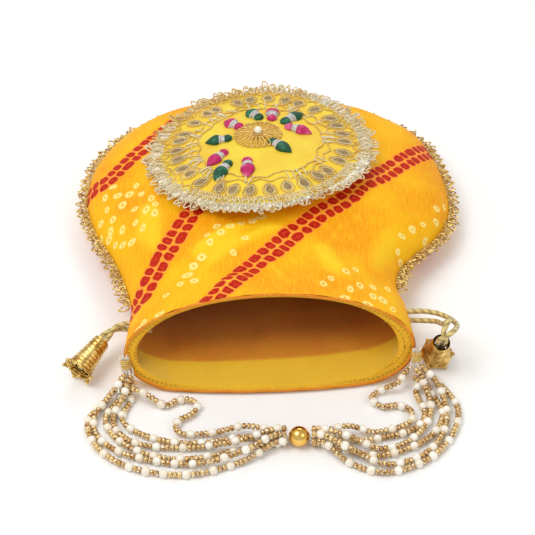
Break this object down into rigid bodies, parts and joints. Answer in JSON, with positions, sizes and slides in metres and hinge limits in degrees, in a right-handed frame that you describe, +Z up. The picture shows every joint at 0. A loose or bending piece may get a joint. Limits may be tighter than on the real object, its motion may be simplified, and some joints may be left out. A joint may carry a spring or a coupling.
{
  "type": "drawstring pouch bag",
  "caption": "Padded drawstring pouch lying on its back, with tasselled drawcords, a round flower patch and a beaded strand handle.",
  "frame": {"origin": "centre of the pouch's plan box, on the surface it lies on", "axes": "+X to the pouch's right seen from its mouth, +Y from the mouth to the closed end, +Z up through the front panel"},
  "size_m": [0.2366, 0.3148, 0.0558],
  "materials": {
    "yellow_cloth": "crepe cotton, tie-dyed",
    "lining_cloth": "plain twill cotton",
    "gold_lace": "metallic braid",
    "drawcord_satin": "satin cord",
    "cap_metal": "dark polished",
    "gold_metal": "bright polished",
    "gold_wire": "wound gold thread over wire",
    "white_thread": "plain thread",
    "patch_cloth": "satin",
    "bead_strand": "gold seed beads and cream pearls",
    "pearl": "pearl lustre",
    "green_satin": "satin",
    "pink_satin": "satin"
  },
  "bodies": {
    "pouch": {"front_panel": "yellow_cloth", "back_panel": "yellow_cloth", "lining": "lining_cloth", "seam_trim": "gold_lace", "drawcord_left": "drawcord_satin", "drawcord_right": "drawcord_satin", "drawcord_left_knot": "drawcord_satin", "drawcord_right_knot": "drawcord_satin", "handle_thread": "white_thread", "handle_tab_left": "gold_lace", "handle_tab_right": "gold_lace", "patch_disc": "patch_cloth", "patch_ruffle": "gold_lace", "patch_leaf_ring": "gold_wire", "patch_zigzag_wire": "gold_wire", "rosette": "gold_wire", "rosette_pearl": "pearl", "handle_left_strand_1": "bead_strand", "handle_left_strand_2": "bead_strand", "handle_left_strand_3": "bead_strand", "handle_left_strand_4": "bead_strand", "handle_left_strand_5": "bead_strand", "handle_left_strand_6": "bead_strand", "handle_right_strand_1": "bead_strand", "handle_right_strand_2": "bead_strand", "handle_right_strand_3": "bead_strand", "handle_right_strand_4": "bead_strand", "handle_right_strand_5": "bead_strand", "handle_right_strand_6": "bead_strand", "green_petal_1": "green_satin", "green_petal_2": "green_satin", "green_petal_3": "green_satin", "green_petal_4": "green_satin", "green_petal_5": "green_satin", "pink_petal_1": "pink_satin", "pink_petal_2": "pink_satin", "pink_petal_3": "pink_satin", "pink_petal_4": "pink_satin", "pink_petal_5": "pink_satin"},
    "left_cap": {"left_cap": "cap_metal"},
    "right_cap": {"right_cap": "cap_metal"},
    "gather_bead": {"gather_bead": "gold_metal"}
  },
  "joints": [
    {"name": "left_cap_slide", "type": "slide", "parent": "pouch", "child": "left_cap", "axis": [0.5318, 0.8228, 0.2007], "range_m": [-0.004, 0.004]},
    {"name": "right_cap_slide", "type": "slide", "parent": "pouch", "child": "right_cap", "axis": [0, -0.481, 0.8767], "range_m": [-0.002, 0.004]},
    {"name": "gather_bead_spin", "type": "hinge", "parent": "pouch", "child": "gather_bead", "pos_m": [0.0166, -0.163, 0.0061], "axis": [1, 0, 0], "continuous": true}
  ]
}
